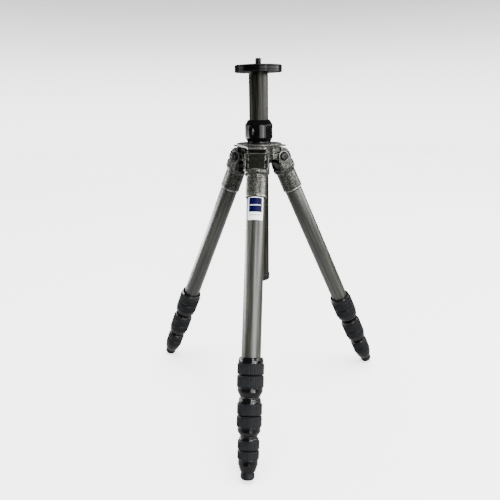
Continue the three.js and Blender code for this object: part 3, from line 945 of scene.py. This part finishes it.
def label():
    """A sheet bent round the front leg's upper tube, with rounded corners."""
    low, high = span("label_plate", LEG["front"])
    tube_radius = span("tube_1_front", LEG["front"])[1].x
    half_height, middle = (high.z - low.z) / 2, (high.z + low.z) / 2
    corner, turn = LABEL["corner"], math.radians(LABEL["turn"])
    radius = tube_radius + LABEL["print"]
    half_width = math.radians(LABEL["half_turn"]) * radius
    rows, columns = [], 48
    for i in range(12):
        rows.append(corner * (1 - math.cos(math.pi / 2 * i / 11)))
    rows += [corner + (half_height - corner) * i / 8 for i in range(1, 9)]
    heights = [-half_height + r for r in rows] + [half_height - r for r in reversed(rows[:-1])]
    bm = bmesh.new()
    skins = []
    for r in (tube_radius + LABEL["gap"], tube_radius + LABEL["face"]):
        grid = []
        for height in heights:
            into = max(0.0, corner - (half_height - abs(height)))
            width = half_width - corner + math.sqrt(max(0.0, corner * corner - into * into))
            line = []
            for j in range(columns + 1):
                angle = turn + width / radius * (2 * j / columns - 1)
                line.append(bm.verts.new((r * math.sin(angle), -r * math.cos(angle), middle + height)))
            grid.append(line)
        skins.append(grid)
    for grid in skins:
        for a, b in zip(grid, grid[1:]):
            for j in range(columns):
                bm.faces.new((a[j], a[j + 1], b[j + 1], b[j]))
    inner, outer = (
        [g[0][j] for j in range(columns)] + [g[i][columns] for i in range(len(g) - 1)]
        + [g[-1][j] for j in range(columns, 0, -1)] + [g[i][0] for i in range(len(g) - 1, 0, -1)]
        for g in skins
    )
    for i in range(len(inner)):
        j = (i + 1) % len(inner)
        bm.faces.new((inner[i], inner[j], outer[j], outer[i]))
    bmesh.ops.recalc_face_normals(bm, faces=bm.faces)
    layout = {"turn": turn, "radius": radius, "middle": middle}
    for shape, (below, width, height) in ARTWORK.items():
        layout[shape] = (half_height - below, width, height)
    paint = label_material(layout)
    piece("leg_label", bm, LEG["front"], paint, "leg_front", ["label_plate"])


# ---- Stage ----
STAGE = {"radius": 5.5, "height": 5.0, "bend": 0.9, "middle": 1.2, "columns": 96}
GLOW = {"strength": 3.6, "reach": 5500, "height": 2600}


def stage_material():
    """Pale paper with a painted glow, so that shadows on it stay faint; the glow is painted weaker near
    the middle and dimmer towards its top.
    """
    m = Nodes("studio_white_painted_glow", Specular_IOR_Level=0.1, Roughness=0.9, Emission_Strength=GLOW["strength"])
    place = m.place()
    up = m.level(m.add("SeparateXYZ", {"Vector": place}).outputs["Z"], 0, GLOW["height"])
    length = m.add("VectorMath", {"Vector": place}, operation="LENGTH").outputs["Value"]
    out = m.level(length, 0, GLOW["reach"])
    haze = m.noise((1, 1, 1), size=700, detail=2)
    color = m.ramp(haze, (0.3, (0.78, 0.775, 0.77)), (0.7, (0.81, 0.8, 0.795)))
    # Painted glow: weaker near the middle, stronger outwards, and fading towards the top.
    outwards = m.ramp(out, (0.15, (0.53, 0.525, 0.515)), (0.33, (0.66, 0.655, 0.645)),
                      (0.64, (0.95, 0.945, 0.935)), (0.85, (1.0, 0.99, 0.985)))
    upwards = m.ramp(up, (0.05, 1.0), (0.17, 0.92), (0.32, 0.69), (0.45, 0.42), (0.57, 0.24),
                     (0.75, 0.14))
    return m.feed(Base_Color=color, Emission_Color=m.mix(1.0, outwards, upwards, "MULTIPLY"))


def backdrop():
    """A pale floor that sweeps up into a round wall."""
    columns, bend, radius = STAGE["columns"], STAGE["bend"], STAGE["radius"]
    sweep = [(STAGE["middle"], 0), *arc((radius - bend, bend), bend, -90, 0, 10)]
    sweep.append((radius, STAGE["height"]))
    bm = bmesh.new()
    middle = bm.verts.new((0, 0, 0))
    turns = [2 * math.pi * i / columns for i in range(columns)]
    rings = [[bm.verts.new((r * math.cos(a), r * math.sin(a), h)) for a in turns] for r, h in sweep]
    for i in range(columns):
        j = (i + 1) % columns
        bm.faces.new((middle, rings[0][i], rings[0][j]))
        bm.faces.new((rings[0][i], rings[1][i], rings[1][j], rings[0][j]))
        for a, b in zip(rings[1:], rings[2:]):
            bm.faces.new((a[i], b[i], b[j], a[j]))
    mesh = bpy.data.meshes.new("backdrop")
    bm.to_mesh(mesh)
    bm.free()
    mesh.shade_smooth()
    mesh.materials.append(stage_material())
    thing = bpy.data.objects.new("backdrop", mesh)
    bpy.context.scene.collection.objects.link(thing)
    thing.visible_glossy = False
    thing.visible_diffuse = False


def area_light(name, azimuth, distance, width, bottom, top, radiance, color):
    """An upright softbox facing the column's axis. Azimuth runs from the front towards +X."""
    data = bpy.data.lights.new(name, "AREA")
    data.shape = "RECTANGLE"
    data.size, data.size_y = width, top - bottom
    data.energy = radiance * math.pi * width * (top - bottom)
    data.color = color
    thing = bpy.data.objects.new(name, data)
    angle = math.radians(azimuth)
    outwards = Vector((math.sin(angle), -math.cos(angle), 0))
    thing.location = outwards * distance + Vector((0, 0, (bottom + top) / 2))
    thing.rotation_euler = outwards.to_track_quat("Z", "Y").to_euler()
    bpy.context.scene.collection.objects.link(thing)
    return thing


def keep_off_stage(light):
    """Spare the floor from a softbox that stands low enough to cut across it."""
    spared = bpy.data.collections.new("spared")
    spared.objects.link(bpy.data.objects["backdrop"])
    light.light_linking.receiver_collection = spared
    spared.collection_objects[0].light_linking.link_state = "EXCLUDE"


def flat_light(name, place, size, radiance, facing_up):
    """A level softbox. The lower one stands in for light thrown up by the floor."""
    data = bpy.data.lights.new(name, "AREA")
    data.shape = "RECTANGLE"
    data.size, data.size_y = size
    data.energy = radiance * math.pi * size[0] * size[1]
    thing = bpy.data.objects.new(name, data)
    thing.location = place
    thing.rotation_euler = (math.pi if facing_up else 0, 0, 0)
    thing.visible_glossy = facing_up
    bpy.context.scene.collection.objects.link(thing)


WARM, PINK, COOL = (1.0, 0.99, 0.97), (1.0, 0.95, 0.94), (0.97, 0.99, 1.0)
# Azimuth in degrees, then distance, width, bottom and top in metres, radiance and colour.
SOFTBOXES = {
    "right_glint": (42, 1.9, 0.22, 0.12, 0.85, 20.0, WARM),
    "right_low": (38, 2.0, 1.9, 0.15, 0.88, 7.5, WARM),
    "right_key": (27, 2.0, 0.42, 0.9, 2.2, 24.0, (1.0, 0.99, 0.96)),
    "right_fill": (92, 2.0, 2.2, 0.58, 1.3, 14.0, PINK),
    "left_low": (-88, 2.0, 1.2, 0.1, 0.8, 3.5, COOL),
    "left_side": (-116, 2.0, 2.2, -0.12, 0.27, 18.0, COOL),
}
AMBIENT = 0.15


def lights():
    flat_light("sky", (0, 0.3, 2.9), (3.0, 3.0), 12.0, False)
    flat_light("floor_bounce", (0, 0.12, 0.004), (1.4, 1.0), 0.8, True)
    softboxes = {name: area_light(name, *sizes) for name, sizes in SOFTBOXES.items()}
    keep_off_stage(softboxes["left_side"])
    world = bpy.data.worlds.new("world")
    world.use_nodes = True
    background = world.node_tree.nodes["Background"]
    background.inputs["Color"].default_value = (1, 1, 1, 1)
    background.inputs["Strength"].default_value = AMBIENT
    bpy.context.scene.world = world


# Place in millimetres from the column's origin, angles in degrees.
CAMERA = {
    "place": (70.8, -788.2, 87.46), "pitch": 17.01, "pan": -1.23, "roll": -0.95, "turn": 5.13,
    "lens": 35.59, "sensor": 36,
}


def camera():
    """In front, a little to the right and above, in the column's frame."""
    pitch, pan, roll, turn = (math.radians(CAMERA[key]) for key in ("pitch", "pan", "roll", "turn"))
    level = math.cos(pitch)
    look = Vector((math.sin(pan) * level, math.cos(pan) * level, -math.sin(pitch)))
    look.rotate(Matrix.Rotation(turn, 3, "Z"))
    side = look.cross(Vector((0, 0, 1))).normalized()
    over = side.cross(look)
    right = side * math.cos(roll) + over * math.sin(roll)
    up = over * math.cos(roll) - side * math.sin(roll)
    data = bpy.data.cameras.new("camera")
    data.lens = CAMERA["lens"]
    data.sensor_width = CAMERA["sensor"]
    thing = bpy.data.objects.new("camera", data)
    place = Vector(CAMERA["place"]) * MM + COLUMN.translation
    facing = Matrix((right, up, -look)).transposed().to_4x4()
    thing.matrix_world = Matrix.Translation(place) @ facing
    bpy.context.scene.collection.objects.link(thing)
    bpy.context.scene.camera = thing


# ---- Build ----
camera()
shoulder()
platform()
stud()
lock_ring()
column()
for leg_name in LEGS:
    fork(leg_name)
    bolt(leg_name)
    catch(leg_name)
    for number in (1, 2, 3, 4):
        tube(leg_name, number)
    for number in (1, 2, 3):
        collar(leg_name, number)
        nut(leg_name, number)
        frame["nodes"][f"lock_{number}_bush_{leg_name}"].material_slots[0].material = NYLON
    foot(leg_name)
label()
frame["nodes"]["column_bush"].material_slots[0].material = NYLON
backdrop()
lights()
